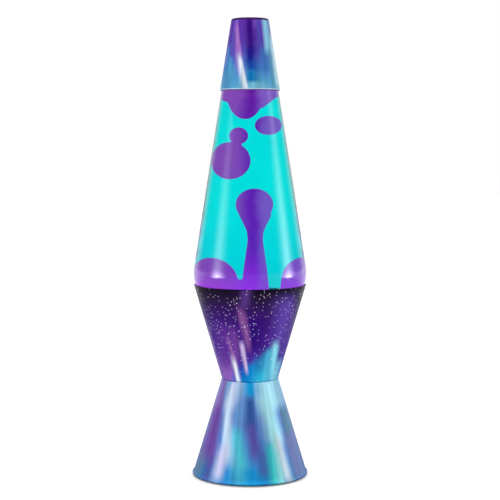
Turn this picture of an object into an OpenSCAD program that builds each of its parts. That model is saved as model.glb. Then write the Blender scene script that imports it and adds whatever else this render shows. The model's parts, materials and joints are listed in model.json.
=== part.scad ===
// Liquid motion lamp: a sealed glass globe of wax and tinted liquid stands in a spun hourglass
// base over an incandescent bulb, and a spun cap covers the globe's neck.
// Millimetres. The origin is the middle of the footprint on the table, +Z is up and +Y is the back,
// where the cord outlet is.

/* [Lamp] */
// Height of the whole lamp
lamp_h = 368; // [366:0.5:372]
// Thickness of the spun aluminium
sheet_t = 0.8; // [0.6:0.1:0.9]

/* [Base] */
// Height of the cup's rim above the table
base_h = 155.4; // [154.8:0.1:156]
// Height of the waist, where the foot cone and the cup cone meet
waist_h = 79; // [78.6:0.1:79.4]
// Outside radius of the waist
waist_r = 22.8; // [22.6:0.1:23]
// Outside radius of the cup at its rim
rim_r = 45.4; // [45:0.1:46]
// Outside radius of the foot's rolled edge
foot_r = 46.8; // [46.5:0.1:47.2]
// How far the rubber feet hold the foot's edge above the table
foot_gap = 0.8; // [0.5:0.1:1.2]

/* [Globe] */
// Height of the globe's underside above the table
globe_z = 113; // [112:0.5:114]
// Height of the corner between the globe's two tapers, before it is rounded
shoulder_z = 163; // [162.6:0.1:163.4]
// Outside radius of that corner, before it is rounded
shoulder_r = 46.45; // [46.3:0.05:46.6]
// Rounding radius of that corner
shoulder_round = 37; // [33:1:40]
// Taper of the globe above its shoulder, radius lost for each millimetre of height
globe_taper = 0.1605; // [0.1595:0.0005:0.1615]
// Thickness of the glass
glass_t = 2.2; // [2:0.1:2.4]
// Height of the liquid's surface above the table
liquid_top = 332; // [329:1:334]

/* [Cap] */
// Height of the cap's open edge above the table
cap_z = 311; // [310:0.5:312]
// Outside radius of the cap at its open edge
cap_r = 24; // [23.9:0.1:24.3]
// Outside radius of the cap at its flat top, before its edge is rounded
cap_top_r = 14.8; // [14.7:0.1:15.2]

/* [Bulb] */
// Radius of the bulb's glass
bulb_r = 17.4; // [17:0.1:17.5]
// Height of the bulb's lowest point, its solder tip
bulb_z = 43.4; // [43:0.1:44]
// Height of the bulb's top
bulb_top = 101.5; // [100:0.5:102]
// Rise of the screw cap's thread in one turn
thread_pitch = 2.82; // [2.8:0.01:2.84]

/* [Cord outlet] */
// Height of the outlet's middle
outlet_z = 15; // [14:0.5:18]
// Radius of the grommet's bore
outlet_bore_r = 2.9; // [2.5:0.1:3.2]

/* [Hidden] */

smooth = 96;      // facets of a preview circle; the solids are exact
soft_gap = 0.3;   // room between wax, liquid and glass
part_gap = 0.05;  // room between pieces that only touch
neck_r = 18.2;    // hole through both cones at the waist, which the bulb passes

// Radius lost for each millimetre of height by both base cones, and how much thicker a sheet at
// that slope is when measured across
cup_slope = (rim_r - waist_r) / (base_h - waist_h);
foot_slope = (foot_r - 0.4 - waist_r) / (waist_h - foot_gap);
across = sqrt(1 + cup_slope * cup_slope);
cup_seat_gap = 0.4;  // room between the globe and the cup that it sits in

// ---------- outlines ----------

function unit(v) = v / norm(v);
function reverse(p) = [for (i = [len(p) - 1 : -1 : 0]) p[i]];
function short_turn(a) = a > 180 ? a - 360 : a < -180 ? a + 360 : a;

// Points of an arc of radius r that rounds the corner b between a and c
function rounded_corner(a, b, c, r, steps = 5) =
  let (u = unit(a - b), v = unit(c - b), half = acos(u * v) / 2,
       centre = b + unit(u + v) * r / sin(half),
       start = b + u * r / tan(half) - centre, stop = b + v * r / tan(half) - centre,
       from = atan2(start.y, start.x), turn = short_turn(atan2(stop.y, stop.x) - from))
  [for (i = [0 : steps]) centre + r * [cos(from + turn * i / steps), sin(from + turn * i / steps)]];

// An open path through points [radius, height, rounding]
function path(p) = [for (i = [0 : len(p) - 1])
  let (here = [p[i].x, p[i].y])
  each (i == 0 || i == len(p) - 1 || p[i].z == 0) ? [here]
    : rounded_corner([p[i - 1].x, p[i - 1].y], here, [p[i + 1].x, p[i + 1].y], p[i].z)];

// Direction to the right of the path at point i
function side(p, i) =
  let (before = i > 0 ? unit(p[i] - p[i - 1]) : unit(p[1] - p[0]),
       after = i < len(p) - 1 ? unit(p[i + 1] - p[i]) : before,
       along = unit(before + after))
  [along.y, -along.x] / (along * after);

// The closed outline of a sheet of thickness t on the right of a path
function sheet(p, t) = concat(p, reverse([for (i = [0 : len(p) - 1]) p[i] + t * side(p, i)]));

function half_ellipse(r, h, up = 1) = [for (a = [0 : 10 : 90]) [r * sin(a), up * h * cos(a)]];

module turned(outline) {
  rotate_extrude($fn = smooth) polygon([for (q = outline) [max(0, q.x), q.y]]);
}

// Egg of radius r and half height h, drawn out by travel for the room that it moves in
module egg(r, h, down = 0, up = 0) {
  turned(concat([for (q = half_ellipse(r, h, 1)) q + [0, up]],
    reverse([for (q = half_ellipse(r, h, -1)) q - [0, down]])));
}

module ring_of(count, radius, start = 0) {
  for (i = [0 : count - 1]) rotate(start + i * 360 / count) translate([radius, 0, 0]) children();
}

// ---------- the base's shells ----------

function foot_line(z) = foot_r - 0.4 - foot_slope * (z - foot_gap);

rivet_r = 19.7;
rivet_hole = 1.05;
rivet_at = 90;
lug_reach = 36;
outlet_tilt = atan(foot_slope);
grommet_flange = 1.5;
grommet_out = 1.6;
grommet_in = -3;

module outlet_axis() {
  translate([0, foot_line(outlet_z), outlet_z]) rotate([-90 + outlet_tilt, 0, 0]) children();
}

module base_cup() {
  color("#2a1450") difference() {
    turned(sheet(reverse(path([[neck_r, waist_h, 0], [waist_r, waist_h, 1.6],
      [rim_r, base_h, 0]])), sheet_t));
    ring_of(3, rivet_r, rivet_at) translate([0, 0, waist_h - 1]) cylinder(r = rivet_hole, h = 3, $fn = 24);
  }
}

bead_h = 1.8;
module base_foot() {
  shell_t = sheet_t * across;
  color("#3a8fc4") difference() {
    turned(concat(
      path([[neck_r, waist_h, 0], [waist_r + 0.2, waist_h, 1.2], [foot_line(4), foot_gap + 3.4, 6],
        [foot_r, foot_gap + bead_h, 0.6], [foot_r, foot_gap, 0.8], [foot_r - bead_h, foot_gap, 0.5],
        [foot_r - bead_h, foot_gap + 2.4, 0]]),
      [[foot_line(4.4) - shell_t, 4.4], [foot_line(waist_h) - shell_t, waist_h - sheet_t],
        [neck_r, waist_h - sheet_t]]));
    ring_of(3, rivet_r, rivet_at) translate([0, 0, waist_h - 2]) cylinder(r = rivet_hole, h = 3, $fn = 24);
    outlet_axis() cylinder(r = 4.6, h = 12, center = true, $fn = 48);
  }
}

module waist_rivets() {
  stack = 3 * sheet_t;
  bottom = waist_h - 2 * sheet_t;
  color("silver") ring_of(3, rivet_r, rivet_at) translate([0, 0, bottom]) {
    cylinder(r = 1, h = stack, $fn = 24);
    for (z = [-0.7, stack]) translate([0, 0, z]) cylinder(r = 1.4, h = 0.7, $fn = 24);
  }
}

// ---------- the socket and its bracket ----------

bracket_top = waist_h - sheet_t;
bracket_z = bulb_z - 5.6;
strap_t = 1.2;
leg_x = 19.2;
strap_w = 12;

module socket_bracket() {
  color("lightgray") difference() {
    union() {
      translate([0, 0, bracket_top - sheet_t]) difference() {
        cylinder(r = 21.2, h = sheet_t, $fn = smooth);
        translate([0, 0, -1]) cylinder(r = neck_r, h = 3, $fn = smooth);
      }
      for (x = [-1, 1]) translate([x * leg_x, 0, (bracket_z + bracket_top) / 2])
        cube([strap_t, strap_w, bracket_top - bracket_z], center = true);
      translate([0, 0, bracket_z - strap_t / 2])
        cube([2 * leg_x + strap_t, strap_w, strap_t], center = true);
    }
    ring_of(3, rivet_r, rivet_at) translate([0, 0, bracket_top - 2])
      cylinder(r = rivet_hole, h = 3, $fn = 24);
    translate([0, 0, bracket_z - 3]) cylinder(r = 5.1, h = 6, $fn = 48);
  }
}

socket_z = bracket_z;
socket_top = bulb_z + 18;
socket_floor = bulb_z - 2.6;
socket_wall_r = 12.2;
cavity_r = 9.5;
terminal_z = bulb_z + 2;
contact_t = 0.4;
contact_w = 5;

module socket_body() {
  color("ivory") difference() {
    turned(path([[0, socket_z, 0], [socket_wall_r, socket_z, 0.8], [socket_wall_r, socket_top, 1.2],
      [cavity_r, socket_top, 0.6], [cavity_r, socket_floor, 0], [0, socket_floor, 0]]));
    translate([0, 0, socket_z - 1]) cylinder(r = 4.9, h = 6, $fn = 48);
    for (y = [-1, 1]) translate([0, y * socket_wall_r, terminal_z]) rotate([90, 0, 0])
      cylinder(r = 1.3, h = 4, center = true, $fn = 24);
  }
}

module socket_terminals() {
  color("goldenrod") for (y = [-1, 1]) rotate(y * 90) translate([socket_wall_r, 0, terminal_z])
    rotate([0, 90, 0]) difference() {
      union() {
        translate([0, 0, -1.6]) cylinder(r = 1.2, h = 2, $fn = 24);
        translate([0, 0, part_gap]) cylinder(r = 2.4, h = 1.3, $fn = 32);
      }
      translate([0, 0, 1.2]) cube([6, 0.7, 0.8], center = true);
    }
}

// Springy strip that reaches up to just under the bulb's tip
module socket_contact() {
  low = socket_floor + part_gap;
  high = bulb_z - soft_gap - contact_t;
  color("goldenrod") translate([0, contact_w / 2, 0]) rotate([90, 0, 0]) linear_extrude(contact_w)
    polygon(sheet([[8.6, low], [5.4, low], [3.4, high - 0.5], [1.5, high], [-1.5, high],
      [-3.4, high - 0.5]], contact_t));
}

module socket_nipple() {
  color("silver") translate([0, 0, bracket_z - 7.4]) difference() {
    cylinder(r = 4.8, h = 9.6, $fn = 48);
    translate([0, 0, -1]) cylinder(r = 3.6, h = 12, $fn = 48);
  }
}

module nipple_washer() {
  color("silver") translate([0, 0, bracket_z - strap_t - 1]) difference() {
    cylinder(r = 7.4, h = 0.95, $fn = 48);
    translate([0, 0, -1]) cylinder(r = 4.85, h = 3, $fn = 48);
    ring_of(8, 7.6) translate([0, 0, 0.5]) cube([1.8, 1, 2], center = true);
  }
}

module nipple_nut() {
  color("silver") translate([0, 0, bracket_z - 5.4]) difference() {
    cylinder(r = 8.1, h = 3.1, $fn = 6);
    translate([0, 0, -1]) cylinder(r = 4.85, h = 6, $fn = 48);
  }
}

// ---------- round threads ----------

// A tube whose wall is pressed into a right-hand round thread of the bulb's pitch. The thread runs
// out at both ends, into the thread's crest where end is 1 or its root where end is -1.
module threaded_tube(mean_r, low, high, wall, end) {
  turns = 24;
  rings = round((high - low) / thread_pitch * 6);
  function fade(k) = min(1, k / 3, (rings - k) / 3);
  function at(i, k, inset) =
    let (a = i * 360 / turns, z = low + (high - low) * k / rings, full = fade(k),
         wave = full * cos(360 * z / thread_pitch - a) + (1 - full) * end,
         r = mean_r - inset + thread_depth * wave)
    [r * cos(a), r * sin(a), z];
  outer = [for (k = [0 : rings], i = [0 : turns - 1]) at(i, k, 0)];
  inner = [for (k = [rings : -1 : 0], i = [0 : turns - 1]) at(i, k, wall)];
  points = concat(outer, inner);
  loops = 2 * (rings + 1);
  polyhedron(points, [for (k = [0 : loops - 1], i = [0 : turns - 1], half = [0, 1])
    let (next = (k + 1) % loops, j = (i + 1) % turns)
    half == 0 ? [k * turns + i, next * turns + j, k * turns + j]
      : [k * turns + i, next * turns + i, next * turns + j]]);
}

thread_depth = 0.42;
screw_r = 7.85;
screw_low = bulb_z + 4.2;
screw_high = bulb_z + 18.2;
screw_wall = 0.35;
shell_gap = 0.42;

module socket_screw_shell() {
  color("goldenrod")
    threaded_tube(screw_r + shell_gap + screw_wall, screw_low - 1.4, socket_top - 2, screw_wall, 1);
}

module bulb_screw_cap() {
  color("gold") threaded_tube(screw_r, screw_low, screw_high, screw_wall, -1);
}

// ---------- the bulb ----------

bulb_neck_r = 6.9;
bulb_centre = bulb_top - bulb_r;
bulb_wall = 0.6;
glass_low = screw_high - 4;

module bulb_glass() {
  color([0.9, 0.95, 1, 0.35]) turned(sheet(concat([[0, bulb_top]],
    [for (a = [80 : -10 : -40]) [bulb_r * cos(a), bulb_centre + bulb_r * sin(a)]],
    [[bulb_neck_r + 1.6, screw_high + 4.4], [bulb_neck_r, screw_high + 1.4], [bulb_neck_r, glass_low]]),
    bulb_wall));
}

module bulb_insulator() {
  color("#202020") turned([[0, bulb_z + 1.3], [4.6, bulb_z + 1.3], [screw_r - 0.6, screw_low - 0.1],
    [0, screw_low - 0.1]]);
}

module bulb_solder_tip() {
  color("silver") turned([[0, bulb_z], [1.8, bulb_z + 0.3], [2.8, bulb_z + 1], [0, bulb_z + 1]]);
}

stem_low = screw_high - 3;
stem_top = screw_high + 12;
module bulb_stem() {
  color([0.9, 0.95, 1, 0.35]) turned([[0, stem_low], [5.8, stem_low], [4.8, stem_low + 2],
    [2.4, stem_low + 7], [2, stem_top - 1], [1.2, stem_top], [0, stem_top]]);
}

filament_z = bulb_centre;
filament_x = 7;
lead_r = 0.35;
lead_x = 0.8;
lead_low = stem_top + 0.25;
module bulb_leads() {
  rise = filament_z - lead_low;
  splay = atan((filament_x - lead_x) / rise);
  color("gray") for (x = [-1, 1]) translate([x * lead_x, 0, lead_low]) rotate([0, x * splay, 0])
    cylinder(r = lead_r, h = rise / cos(splay), $fn = 16);
}

// Fine coil between the tops of the leads
module bulb_filament() {
  steps = 12 * coil_steps;
  half = filament_x - 0.5;
  coil = 0.8;
  arch = 1.6;
  function core(s) =
    let (x = 2 * s / steps - 1)
    [half * x, 0, filament_z + 0.6 + arch * (1 - x * x)];
  function wire(s) =
    let (a = 360 * s / coil_steps)
    core(s) + coil * [0, cos(a), sin(a)];
  color("dimgray") swept([for (s = [0 : steps]) wire(s)], [for (s = [0 : steps]) core(s)], 0.18);
}

coil_steps = 8;   // points on each turn of a coil
wire_sides = 4;

// A coiled wire of radius r along a line of points, whose corners face away from the coil's core
module swept(line, core, r) {
  last = len(line) - 1;
  function along(i) = unit(line[min(i + 1, last)] - line[max(i - 1, 0)]);
  function ring(i) =
    let (d = along(i), away = line[i] - core[i], u = unit(away - (away * d) * d), v = cross(d, u))
    [for (k = [0 : wire_sides - 1])
      line[i] + r * (cos(360 * k / wire_sides) * u + sin(360 * k / wire_sides) * v)];
  points = [for (i = [0 : last]) each ring(i)];
  walls = [for (i = [0 : last - 1], k = [0 : wire_sides - 1], half = [0, 1])
    let (j = (k + 1) % wire_sides, a = i * wire_sides, b = a + wire_sides)
    half == 0 ? [a + k, b + j, a + j] : [a + k, b + k, b + j]];
  polyhedron(points, concat(walls, [[for (k = [0 : wire_sides - 1]) k]],
    [[for (k = [wire_sides - 1 : -1 : 0]) last * wire_sides + k]]));
}

// ---------- the underside ----------

cover_z = 2.4;
cover_t = 1.6;
cover_r = 43.2;
screw_at = 30;

module bottom_cover() {
  color("#1c1c1e") difference() {
    translate([0, 0, cover_z]) cylinder(r = cover_r, h = cover_t, $fn = smooth);
    ring_of(3, lug_reach, screw_at) cylinder(r = 1.7, h = 8, $fn = 24);
    ring_of(4, 24, 45) translate([0, 0, cover_z]) cube([10, 2.4, 8], center = true);
  }
}

lug_t = 1;
lug_z = cover_z + cover_t + part_gap;
lug_w = 8;
lug_h = 9;
lug_wall_x = foot_line(lug_z) - across * sheet_t - 0.25;

// Strips bent up against the inside of the foot, where they are spot-welded
module cover_lugs() {
  strip = [[31, lug_z], [lug_wall_x, lug_z], [lug_wall_x - lug_h * foot_slope, lug_z + lug_h]];
  color("lightgray") ring_of(3, 0, screw_at) difference() {
    translate([0, lug_w / 2, 0]) rotate([90, 0, 0]) linear_extrude(lug_w)
      polygon(sheet(strip, -lug_t));
    translate([lug_reach, 0, 0]) cylinder(r = 1.45, h = 8, $fn = 24);
  }
}

module cover_screws() {
  color("silver") ring_of(3, lug_reach, screw_at) difference() {
    union() {
      translate([0, 0, cover_z - 1.3]) cylinder(r = 3, h = 1.3 - part_gap, $fn = 32);
      translate([0, 0, cover_z - 0.5]) cylinder(r = 1.4, h = 6, $fn = 24);
    }
    for (a = [0, 90]) rotate(a) translate([0, 0, cover_z - 1.3]) cube([3.4, 0.6, 1.2], center = true);
  }
}

module rubber_feet() {
  color("#151515") ring_of(4, 34, 45)
    turned(path([[0, 0, 0], [5, 0, 0.6], [5.6, cover_z - part_gap, 0], [0, cover_z - part_gap, 0]]));
}

// Its groove is wider than the sheet, because the wall curves away beside the flat flanges
module cord_grommet() {
  color("#181818") outlet_axis() difference() {
    union() {
      translate([0, 0, grommet_in]) cylinder(r = 4.5, h = grommet_out - grommet_in, $fn = 48);
      for (z = [grommet_in, grommet_out - grommet_flange]) translate([0, 0, z])
        cylinder(r = 6.6, h = grommet_flange, $fn = 48);
    }
    cylinder(r = outlet_bore_r, h = 12, center = true, $fn = 48);
  }
}

// ---------- the globe ----------

seat_r = rim_r - (sheet_t + cup_seat_gap) * across;
function upper_r(z) = shoulder_r - globe_taper * (z - shoulder_z);
function lower_r(z) = seat_r - cup_slope * (base_h - z);

neck_z = 338.5;
mouth_z = 356;
mouth_r = 13.2;
mouth_bore = 8.6;
floor_t = 4.4;
punt = 1.6;

// The inside of the globe, from the mouth down to the middle of its floor, drawn in by inset
function bore_line(inset = 0) = path([[mouth_bore - inset, mouth_z, 0], [mouth_bore - inset, neck_z + 6, 3],
  [upper_r(neck_z) - glass_t - inset, neck_z - 1, 6],
  [shoulder_r - 1.02 * glass_t - inset, shoulder_z, shoulder_round],
  [lower_r(globe_z + floor_t) - glass_t - inset, globe_z + floor_t + inset, 7],
  [0, globe_z + floor_t + inset, 0]]);

module globe_glass() {
  color([0.8, 1, 1, 0.3]) turned(concat(
    path([[0, globe_z + punt, 0], [18, globe_z + punt, 4], [22, globe_z, 3], [lower_r(globe_z), globe_z, 6],
      [shoulder_r, shoulder_z, shoulder_round], [upper_r(neck_z), neck_z, 7], [mouth_r - 0.9, neck_z + 7, 3],
      [mouth_r - 0.9, mouth_z - 4.5, 0], [mouth_r, mouth_z - 3.6, 0], [mouth_r, mouth_z, 1.4],
      [mouth_bore, mouth_z, 0]]),
    bore_line()));
}

// Everything inside the globe up to a height
module contents(inset, low, high) {
  intersection() {
    turned(concat([[0, mouth_z]], bore_line(inset)));
    translate([0, 0, low]) cylinder(r = 60, h = high - low, $fn = smooth);
  }
}

crown_t = 0.4;
crown_h = 6;
crown_flutes = 21;
crown_top = mouth_z + 1.6;
module crown_closure() {
  color("silver") difference() {
    turned(sheet(path([[0, crown_top, 0], [mouth_r + 0.7, crown_top, 1.4],
      [mouth_r + 1.9, crown_top - crown_h, 0]]), crown_t));
    ring_of(crown_flutes, mouth_r + 2.5) translate([0, 0, crown_top - crown_h - 1])
      cylinder(r = 0.95, h = 5.4, $fn = 24);
  }
}

module crown_liner() {
  color("whitesmoke") translate([0, 0, mouth_z + part_gap])
    cylinder(r = 12.4, h = crown_top - crown_t - mouth_z - 2 * part_gap, $fn = smooth);
}

// ---------- wax and liquid ----------

coil_ring_r = 21;
coil_z = globe_z + 10;
coil_r = 3;
coil_wire = 0.55;
pool_top = 143;
column_x = 3.2;
head_z = 218.6;
head_r = 11.5;
head_h = 13.1;

large_blob = [-12.5, -1.6, 254];
large_r = 12.9;
large_h = 14.9;
bud = [5.3, -2.5, 20];
bud_r = 6.1;
bud_h = 6.8;
large_down = 6;
large_up = 5;
small_blob = [10.4, 5.4, 282];
small_r = 7.7;
small_down = 34;
small_up = 5;

// The rising column: a round head on a narrow neck that spreads into the pool
module column(grow = 0) {
  translate([column_x, 0, 0]) {
    translate([-0.5, 0, head_z]) egg(head_r + grow, head_h + grow);
    turned(concat([[0, pool_top - 6]], path([[13 + grow, pool_top - 6, 0], [8.8 + grow, pool_top + 9, 12],
      [4.7 + grow, 190.4, 30], [5.2 + grow, 197.4, 10], [10.1 + grow, 210.8, 0]]), [[0, 210.8]]));
  }
}

module pool_lump(at, r, h, grow) { translate(at) egg(r + grow, h + grow); }

module wax_pool_shape(grow = 0) {
  intersection() {
    contents(soft_gap, globe_z, neck_z);
    union() {
      translate([0, 0, globe_z]) cylinder(r = 50, h = pool_top + grow - globe_z, $fn = smooth);
      pool_lump([-25, -4, 152.3], 19.1, 24, grow);
      pool_lump([31.5, 6, 152.8], 14, 22.6, grow);
      pool_lump([-8, 3, 149], 11, 12, grow);
      column(grow);
    }
  }
}

module wax_pool() {
  color("#7a22c8") difference() {
    wax_pool_shape();
    rotate_extrude($fn = smooth) translate([coil_ring_r, coil_z])
      circle(r = coil_r + coil_wire + soft_gap, $fn = 48);
  }
}

module wax_top_shape(grow = 0) {
  intersection() {
    contents(soft_gap, 280, liquid_top);
    union() {
      translate([-1.3, 0, 0]) turned(concat([[0, 301.2 - grow]], path([[10, 301.2 - grow, 0],
        [16.2 + grow, 302.8 - grow, 3.4], [15 + grow, 336, 0]]), [[0, 336]]));
      translate([-3, 0, 304.6]) egg(10.9 + grow, 17.7 + grow);
    }
  }
}

module wax_top_mass() { color("#7a22c8") wax_top_shape(); }

module large_blob_shape(grow = 0, down = 0, up = 0) {
  translate(large_blob) {
    egg(large_r + grow, large_h + grow, down, up);
    translate(bud) egg(bud_r + grow, bud_h + grow, down, up);
    translate([0.8 * bud.x, 0.8 * bud.y, 12.4 - down]) cylinder(r = 3.2 + grow, h = 5 + down + up, $fn = 32);
  }
}

module wax_blob_large() { color("#7a22c8") large_blob_shape(); }

module wax_blob_small() { color("#7a22c8") translate(small_blob) egg(small_r, small_r); }

// The liquid leaves the room that the wax takes and that each loose blob drifts in
module liquid() {
  color([0, 0.85, 0.85, 0.5]) difference() {
    contents(soft_gap, pool_top + soft_gap, liquid_top);
    wax_pool_shape(soft_gap);
    wax_top_shape(soft_gap);
    large_blob_shape(soft_gap, large_down, large_up);
    translate(small_blob) egg(small_r + soft_gap, small_r + soft_gap, small_down, small_up);
  }
}

// A long spring bent into a ring on the globe's floor
module warming_coil() {
  steps = 24 * coil_steps;
  function core(s) =
    let (a = 350 * s / steps)
    [coil_ring_r * cos(a), coil_ring_r * sin(a), coil_z];
  function wire(s) =
    let (a = 350 * s / steps, b = 360 * s / coil_steps)
    core(s) + coil_r * [cos(b) * cos(a), cos(b) * sin(a), sin(b)];
  color("silver") swept([for (s = [0 : steps]) wire(s)], [for (s = [0 : steps]) core(s)], coil_wire);
}

// ---------- the cap ----------

module cap() {
  color("#4a58c0")
    turned(sheet(path([[0, lamp_h, 0], [cap_top_r, lamp_h, 2], [cap_r, cap_z, 0]]), sheet_t));
}

base_cup();
base_foot();
waist_rivets();
socket_bracket();
socket_body();
socket_screw_shell();
socket_contact();
socket_terminals();
socket_nipple();
nipple_washer();
nipple_nut();
bottom_cover();
cover_lugs();
cover_screws();
rubber_feet();
cord_grommet();
globe_glass();
crown_closure();
crown_liner();
liquid();
wax_pool();
wax_top_mass();
warming_coil();
wax_blob_large();
wax_blob_small();
cap();
bulb_glass();
bulb_screw_cap();
bulb_insulator();
bulb_solder_tip();
bulb_stem();
bulb_leads();
bulb_filament();
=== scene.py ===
import json
import math

import bmesh
import bpy
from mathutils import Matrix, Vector

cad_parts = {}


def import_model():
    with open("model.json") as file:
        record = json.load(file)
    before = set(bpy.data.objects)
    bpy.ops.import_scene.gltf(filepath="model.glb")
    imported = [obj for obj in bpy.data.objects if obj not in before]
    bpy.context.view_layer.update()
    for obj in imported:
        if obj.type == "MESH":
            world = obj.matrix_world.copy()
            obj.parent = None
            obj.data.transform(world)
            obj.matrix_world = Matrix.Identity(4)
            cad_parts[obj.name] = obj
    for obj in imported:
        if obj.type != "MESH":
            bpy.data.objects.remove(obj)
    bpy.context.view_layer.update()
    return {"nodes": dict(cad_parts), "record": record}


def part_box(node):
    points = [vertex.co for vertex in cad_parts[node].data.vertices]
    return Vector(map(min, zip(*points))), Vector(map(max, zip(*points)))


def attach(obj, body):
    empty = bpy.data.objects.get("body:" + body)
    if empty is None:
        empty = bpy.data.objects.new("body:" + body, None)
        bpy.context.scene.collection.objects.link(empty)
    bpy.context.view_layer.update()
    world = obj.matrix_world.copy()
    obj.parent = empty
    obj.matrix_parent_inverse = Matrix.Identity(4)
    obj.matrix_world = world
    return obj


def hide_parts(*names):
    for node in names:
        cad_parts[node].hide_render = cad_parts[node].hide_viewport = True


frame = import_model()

MM = 0.001


# ---------- sizes, in millimetres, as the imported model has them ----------

LOW, HIGH = 0, 1
X, Z = 0, 2


def edge_of(node, side, axis):
    """A node's lowest or highest coordinate along an axis, in millimetres."""
    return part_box(node)[side][axis] / MM


CAP_TOP = edge_of("cap", HIGH, Z)
CAP_EDGE = edge_of("cap", LOW, Z)
CAP_R = edge_of("cap", HIGH, X)
RIM_Z = edge_of("base_cup", HIGH, Z)
RIM_R = edge_of("base_cup", HIGH, X)
WAIST_Z = edge_of("base_foot", HIGH, Z)
FOOT_R = edge_of("base_foot", HIGH, X)
FOOT_Z = edge_of("base_foot", LOW, Z)
GLOBE_Z = edge_of("globe_glass", LOW, Z)
MOUTH_Z = edge_of("globe_glass", HIGH, Z)
LIQUID_TOP = edge_of("liquid", HIGH, Z)

# The spun metal. A wall is ACROSS times as wide, measured level, as its sheet is thick.
SHEET = 0.8
EDGE_ROUND = 0.38
CAP_TOP_R = 14.8
WAIST_R = 22.8
NECK_HOLE_R = 18.2
BEAD = 1.8
BEAD_PROUD = 0.4
CUP_SLOPE = (RIM_R - WAIST_R) / (RIM_Z - WAIST_Z)
FOOT_SLOPE = (FOOT_R - BEAD_PROUD - WAIST_R) / (WAIST_Z - FOOT_Z)
ACROSS = math.hypot(1, CUP_SLOPE)

# The globe. It stands in the cup on the cup's slope, SEAT_IN from the cup's outside.
GLASS = 2.2
SHOULDER_Z = 163
SHOULDER_R = 46.45
SHOULDER_ROUND = 37
SHOULDER_WALL = 1.02 * GLASS
TAPER = 0.1605
NECK_Z = 338.5
NECK_ROUND = 7
LIP_R = 13.2
LIP_HEIGHT = 3.6
LIP_PROUD = 0.9
BORE_R = 8.6
PUNT = 1.6
PUNT_R = 18
HEEL_R = 22
FLOOR = 4.4
FLOOR_ROUND = 7
SEAT_IN = 1.2
SEAT_R = RIM_R - SEAT_IN * ACROSS

# How far the wax stays off the glass, and how far the liquid's skin lies within it.
WAX_GAP = 0.3
SEAL = 0.12

# How meshes are made: lengths in millimetres, and in degrees the angle that stays a sharp edge.
POINT_STEP = 2.5
FINE_STEP = 1
ARC_STEPS = 8
SAME_POINT = 1e-4
ON_AXIS = 1e-6
CREASE = 30


def upper_r(z):
    """The globe's outer radius above its shoulder."""
    return SHOULDER_R - TAPER * (z - SHOULDER_Z)


def lower_r(z):
    """The globe's outer radius below its shoulder, where it stands in the cup."""
    return SEAT_R - CUP_SLOPE * (RIM_Z - z)


def foot_line(z):
    """The foot's outer radius above its rolled edge."""
    return FOOT_R - BEAD_PROUD - FOOT_SLOPE * (z - FOOT_Z)


# ---------- outlines and meshes ----------

def rounded(before, at, after, radius):
    """Points of the arc that rounds the corner at between before and after."""
    at = Vector(at)
    u = (Vector(before) - at).normalized()
    v = (Vector(after) - at).normalized()
    half = u.angle(v) / 2
    centre = at + (u + v).normalized() * radius / math.sin(half)
    start = at + u * radius / math.tan(half) - centre
    stop = at + v * radius / math.tan(half) - centre
    first = math.atan2(start.y, start.x)
    turn = (math.atan2(stop.y, stop.x) - first + math.pi) % math.tau - math.pi
    angles = [first + turn * i / ARC_STEPS for i in range(ARC_STEPS + 1)]
    return [(centre.x + radius * math.cos(a), centre.y + radius * math.sin(a)) for a in angles]


def path(*points):
    """An outline through points (radius, height) or (radius, height, rounding)."""
    line = []
    for i, p in enumerate(points):
        if len(p) == 2:
            line.append(p)
        else:
            line += rounded(points[i - 1][:2], p[:2], points[i + 1][:2], p[2])
    return line


def dense(line, step=POINT_STEP):
    """The same outline with points no further apart than step, so that smooth shading stays true."""
    out = [line[0]]
    for a, b in zip(line, line[1:]):
        parts = max(1, math.ceil(math.dist(a, b) / step))
        out += [tuple(Vector(a).lerp(Vector(b), i / parts)) for i in range(1, parts + 1)]
    return out


def finish_mesh(name, mesh, materials):
    """Turns a bmesh in millimetres into a smooth-shaded object in metres."""
    bmesh.ops.remove_doubles(mesh, verts=mesh.verts, dist=SAME_POINT)
    bmesh.ops.recalc_face_normals(mesh, faces=mesh.faces)
    bmesh.ops.scale(mesh, vec=(MM, MM, MM), verts=mesh.verts)
    data = bpy.data.meshes.new(name)
    mesh.to_mesh(data)
    mesh.free()
    for material in materials:
        data.materials.append(material)
    data.polygons.foreach_set("use_smooth", [True] * len(data.polygons))
    data.set_sharp_from_angle(angle=math.radians(CREASE))
    piece = bpy.data.objects.new(name, data)
    bpy.context.scene.collection.objects.link(piece)
    return piece


def add_lathe(mesh, runs, turns=192, centre=(0, 0)):
    """Spins outlines (line, material number) that follow each other round the axis at centre."""
    rows = []
    for line, number in runs:
        line = dense(line)
        rows += [(p, number) for p in (line[1:] if rows else line)]
    rings = []
    for (r, z), _ in rows:
        if r < ON_AXIS:
            rings.append([mesh.verts.new((centre[0], centre[1], z))] * turns)
            continue
        rings.append([mesh.verts.new((centre[0] + r * math.sin(math.tau * i / turns),
                                      centre[1] - r * math.cos(math.tau * i / turns), z))
                      for i in range(turns)])
    for (lower, upper), (_, number) in zip(zip(rings, rings[1:]), rows[1:]):
        for i in range(turns):
            j = (i + 1) % turns
            corners = list(dict.fromkeys((lower[i], lower[j], upper[j], upper[i])))
            if len(corners) > 2:
                mesh.faces.new(corners).material_index = number


def lathe(name, runs, materials):
    """A piece spun round the Z axis, from outlines (line, material number)."""
    mesh = bmesh.new()
    add_lathe(mesh, runs)
    return finish_mesh(name, mesh, materials)


def place(piece, body, slot, *nodes):
    """Makes a piece move with a body and stand for CAD nodes."""
    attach(piece, body)
    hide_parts(*nodes)


# ---------- material helpers ----------

def linear(r, g, b):
    """A colour given as sRGB display values from 0 to 255."""
    def channel(v):
        v /= 255
        return v / 12.92 if v <= 0.04045 else ((v + 0.055) / 1.055) ** 2.4
    return (channel(r), channel(g), channel(b), 1)


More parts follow.
